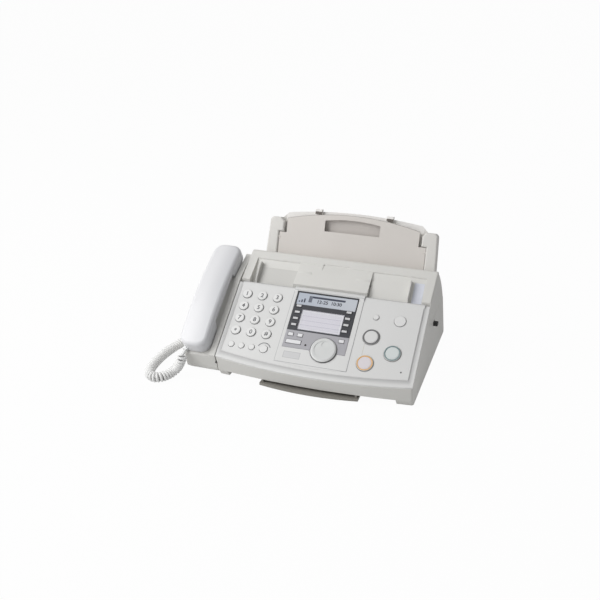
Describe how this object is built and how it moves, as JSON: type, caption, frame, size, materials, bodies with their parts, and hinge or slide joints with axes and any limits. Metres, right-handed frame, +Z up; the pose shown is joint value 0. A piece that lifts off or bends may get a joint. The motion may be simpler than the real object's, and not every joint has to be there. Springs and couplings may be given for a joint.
{
  "type": "fax machine",
  "caption": "Desktop fax machine with a corded handset at its left, a sloping key panel that hinges up, a hinged back cover with document guides and a leaning paper tray.",
  "frame": {"origin": "on the table, in the middle of the machine's width and depth without its cord", "axes": "+X to the machine's right, +Y to its back, +Z up"},
  "size_m": [0.467, 0.3407, 0.2356],
  "materials": {
    "case": "fine-textured warm off-white moulding",
    "panel": "smooth off-white moulding",
    "key": "satin light grey key",
    "orange": "satin key with an orange ring",
    "teal": "satin key with a teal ring",
    "dial": "translucent pale dial",
    "dark": "dark grey moulding",
    "lcd": "pale display window",
    "clear": "clear plastic",
    "card": "plain card",
    "plate": "beige-grey moulding",
    "handset": "smooth white moulding",
    "cord": "white flexible sheath",
    "rubber": "dull rubber",
    "steel": "plated sheet",
    "aluminium": "extruded",
    "board": "printed circuit board",
    "gear": "acetal gear",
    "roller": "ground rubber",
    "film": "wound ink film"
  },
  "bodies": {
    "case": {"base_case": "case", "handset_cradle": "case", "exit_guide": "dark", "rubber_feet": "rubber", "case_screws": "steel", "line_jacks": "dark", "power_inlet": "dark", "roller_frame": "steel", "main_board": "board", "power_unit": "steel", "drive_motor": "steel", "image_sensor": "dark", "thermal_head": "aluminium", "handset_cord": "cord", "cord_plug_base": "clear"},
    "front_cover": {"front_cover": "panel", "display_bezel": "dark", "display_window": "lcd", "card_window": "clear", "directory_card": "card", "panel_board": "board"},
    "key_1": {"key_1": "key"},
    "key_2": {"key_2": "key"},
    "key_3": {"key_3": "key"},
    "key_4": {"key_4": "key"},
    "key_5": {"key_5": "key"},
    "key_6": {"key_6": "key"},
    "key_7": {"key_7": "key"},
    "key_8": {"key_8": "key"},
    "key_9": {"key_9": "key"},
    "key_star": {"key_star": "key"},
    "key_0": {"key_0": "key"},
    "key_hash": {"key_hash": "key"},
    "menu_round_key": {"menu_round_key": "key"},
    "speaker_key": {"speaker_key": "key"},
    "fax_button": {"fax_button": "key"},
    "stop_button": {"stop_button": "orange"},
    "copy_button": {"copy_button": "teal"},
    "function_keys": {"function_keys": "key"},
    "station_keys_left": {"station_keys_left": "key"},
    "station_keys_right": {"station_keys_right": "key"},
    "menu_keys": {"menu_keys": "key"},
    "jog_dial": {"jog_dial": "dial"},
    "back_cover": {"back_cover": "case", "paper_tray": "case"},
    "document_guide_right": {"document_guide_right": "case"},
    "document_guide_left": {"document_guide_left": "case"},
    "tension_plate": {"tension_plate": "plate"},
    "handset": {"handset_body": "handset", "handset_face": "handset", "cord_plug_handset": "clear"},
    "hook_switch": {"hook_switch": "case"},
    "release_lever": {"release_lever": "dark"},
    "platen_roller": {"platen_roller": "roller"},
    "motor_pinion": {"motor_pinion": "gear"},
    "idler_gear": {"idler_gear": "gear"},
    "feed_roller": {"feed_roller": "roller"},
    "film_takeup_roll": {"film_takeup_roll": "film"},
    "pickup_roller": {"pickup_roller": "roller"},
    "film_supply_roll": {"film_supply_roll": "film"}
  },
  "joints": [
    {"name": "front_cover_hinge", "type": "hinge", "parent": "case", "child": "front_cover", "pos_m": [0.02775, -0.02193, 0.12541], "axis": [-1, 0, 0], "range_deg": [0, 50]},
    {"name": "key_1_press", "type": "slide", "parent": "front_cover", "child": "key_1", "axis": [0, 0.5906, -0.807], "range_m": [0, 0.0012], "stiffness_N_per_m": 400},
    {"name": "key_2_press", "type": "slide", "parent": "front_cover", "child": "key_2", "axis": [0, 0.5906, -0.807], "range_m": [0, 0.0012], "stiffness_N_per_m": 400},
    {"name": "key_3_press", "type": "slide", "parent": "front_cover", "child": "key_3", "axis": [0, 0.5906, -0.807], "range_m": [0, 0.0012], "stiffness_N_per_m": 400},
    {"name": "key_4_press", "type": "slide", "parent": "front_cover", "child": "key_4", "axis": [0, 0.5906, -0.807], "range_m": [0, 0.0012], "stiffness_N_per_m": 400},
    {"name": "key_5_press", "type": "slide", "parent": "front_cover", "child": "key_5", "axis": [0, 0.5906, -0.807], "range_m": [0, 0.0012], "stiffness_N_per_m": 400},
    {"name": "key_6_press", "type": "slide", "parent": "front_cover", "child": "key_6", "axis": [0, 0.5906, -0.807], "range_m": [0, 0.0012], "stiffness_N_per_m": 400},
    {"name": "key_7_press", "type": "slide", "parent": "front_cover", "child": "key_7", "axis": [0, 0.5906, -0.807], "range_m": [0, 0.0012], "stiffness_N_per_m": 400},
    {"name": "key_8_press", "type": "slide", "parent": "front_cover", "child": "key_8", "axis": [0, 0.5906, -0.807], "range_m": [0, 0.0012], "stiffness_N_per_m": 400},
    {"name": "key_9_press", "type": "slide", "parent": "front_cover", "child": "key_9", "axis": [0, 0.5906, -0.807], "range_m": [0, 0.0012], "stiffness_N_per_m": 400},
    {"name": "key_star_press", "type": "slide", "parent": "front_cover", "child": "key_star", "axis": [0, 0.5906, -0.807], "range_m": [0, 0.0012], "stiffness_N_per_m": 400},
    {"name": "key_0_press", "type": "slide", "parent": "front_cover", "child": "key_0", "axis": [0, 0.5906, -0.807], "range_m": [0, 0.0012], "stiffness_N_per_m": 400},
    {"name": "key_hash_press", "type": "slide", "parent": "front_cover", "child": "key_hash", "axis": [0, 0.5906, -0.807], "range_m": [0, 0.0012], "stiffness_N_per_m": 400},
    {"name": "menu_round_key_press", "type": "slide", "parent": "front_cover", "child": "menu_round_key", "axis": [0, 0.5906, -0.807], "range_m": [0, 0.0012], "stiffness_N_per_m": 400},
    {"name": "speaker_key_press", "type": "slide", "parent": "front_cover", "child": "speaker_key", "axis": [0, 0.5906, -0.807], "range_m": [0, 0.0012], "stiffness_N_per_m": 400},
    {"name": "fax_button_press", "type": "slide", "parent": "front_cover", "child": "fax_button", "axis": [0, 0.5906, -0.807], "range_m": [0, 0.0012], "stiffness_N_per_m": 400},
    {"name": "stop_button_press", "type": "slide", "parent": "front_cover", "child": "stop_button", "axis": [0, 0.5906, -0.807], "range_m": [0, 0.0012], "stiffness_N_per_m": 400},
    {"name": "copy_button_press", "type": "slide", "parent": "front_cover", "child": "copy_button", "axis": [0, 0.5906, -0.807], "range_m": [0, 0.0012], "stiffness_N_per_m": 400},
    {"name": "function_keys_press", "type": "slide", "parent": "front_cover", "child": "function_keys", "axis": [0, 0.5906, -0.807], "range_m": [0, 0.0012], "stiffness_N_per_m": 400},
    {"name": "station_keys_left_press", "type": "slide", "parent": "front_cover", "child": "station_keys_left", "axis": [0, 0.5906, -0.807], "range_m": [0, 0.0012], "stiffness_N_per_m": 400},
    {"name": "station_keys_right_press", "type": "slide", "parent": "front_cover", "child": "station_keys_right", "axis": [0, 0.5906, -0.807], "range_m": [0, 0.0012], "stiffness_N_per_m": 400},
    {"name": "menu_keys_press", "type": "slide", "parent": "front_cover", "child": "menu_keys", "axis": [0, 0.5906, -0.807], "range_m": [0, 0.0012], "stiffness_N_per_m": 400},
    {"name": "jog_dial_turn", "type": "hinge", "parent": "front_cover", "child": "jog_dial", "pos_m": [0.04105, -0.10954, 0.06749], "axis": [0, -0.5906, 0.807], "continuous": true},
    {"name": "back_cover_hinge", "type": "hinge", "parent": "case", "child": "back_cover", "pos_m": [0.02775, 0.11007, 0.091], "axis": [-1, 0, 0], "range_deg": [0, 50]},
    {"name": "guide_right_slide", "type": "slide", "parent": "back_cover", "child": "document_guide_right", "axis": [-1, 0, 0], "range_m": [0, 0.054]},
    {"name": "guide_left_slide", "type": "slide", "parent": "back_cover", "child": "document_guide_left", "axis": [1, 0, 0], "range_m": [0, 0.054]},
    {"name": "tension_plate_swing", "type": "hinge", "parent": "back_cover", "child": "tension_plate", "pos_m": [0.03175, 0.07622, 0.18383], "axis": [1, 0, 0], "range_deg": [0, 8]},
    {"name": "handset_lift", "type": "slide", "parent": "case", "child": "handset", "axis": [0, -0.5534, 0.8329], "range_m": [0, 0.06], "deforming": ["handset_cord"]},
    {"name": "hook_switch_rise", "type": "slide", "parent": "case", "child": "hook_switch", "axis": [0, -0.5534, 0.8329], "range_m": [0, 0.003]},
    {"name": "release_lever_slide", "type": "slide", "parent": "case", "child": "release_lever", "axis": [0, 1, 0], "range_m": [0, 0.006]},
    {"name": "platen_turn", "type": "hinge", "parent": "case", "child": "platen_roller", "pos_m": [0.02775, 0.02404, 0.04981], "axis": [1, 0, 0], "continuous": true},
    {"name": "motor_turn", "type": "hinge", "parent": "case", "child": "motor_pinion", "pos_m": [0.02775, -0.02528, 0.06293], "axis": [1, 0, 0], "continuous": true},
    {"name": "idler_turn", "type": "hinge", "parent": "case", "child": "idler_gear", "pos_m": [0.02775, -0.00109, 0.073], "axis": [1, 0, 0], "continuous": true},
    {"name": "feed_turn", "type": "hinge", "parent": "case", "child": "feed_roller", "pos_m": [0.02775, -0.02803, 0.09063], "axis": [1, 0, 0], "continuous": true},
    {"name": "takeup_turn", "type": "hinge", "parent": "case", "child": "film_takeup_roll", "pos_m": [0.02775, 0.02718, 0.08841], "axis": [1, 0, 0], "continuous": true},
    {"name": "pickup_turn", "type": "hinge", "parent": "case", "child": "pickup_roller", "pos_m": [0.02775, 0.0512, 0.10413], "axis": [1, 0, 0], "continuous": true},
    {"name": "film_supply_turn", "type": "hinge", "parent": "case", "child": "film_supply_roll", "pos_m": [0.02775, 0.08091, 0.058], "axis": [1, 0, 0], "continuous": true}
  ],
  "couplings": [
    {"joint": "guide_left_slide", "follows": "guide_right_slide", "ratio": 1},
    {"joint": "hook_switch_rise", "follows": "handset_lift", "ratio": 0.05},
    {"joint": "motor_turn", "follows": "platen_turn", "ratio": 2.3333},
    {"joint": "idler_turn", "follows": "platen_turn", "ratio": -0.7},
    {"joint": "feed_turn", "follows": "platen_turn", "ratio": 1.1667},
    {"joint": "takeup_turn", "follows": "platen_turn", "ratio": 1.1667},
    {"joint": "pickup_turn", "follows": "platen_turn", "ratio": -0.84849},
    {"joint": "film_supply_turn", "follows": "platen_turn", "ratio": 0.78571}
  ]
}
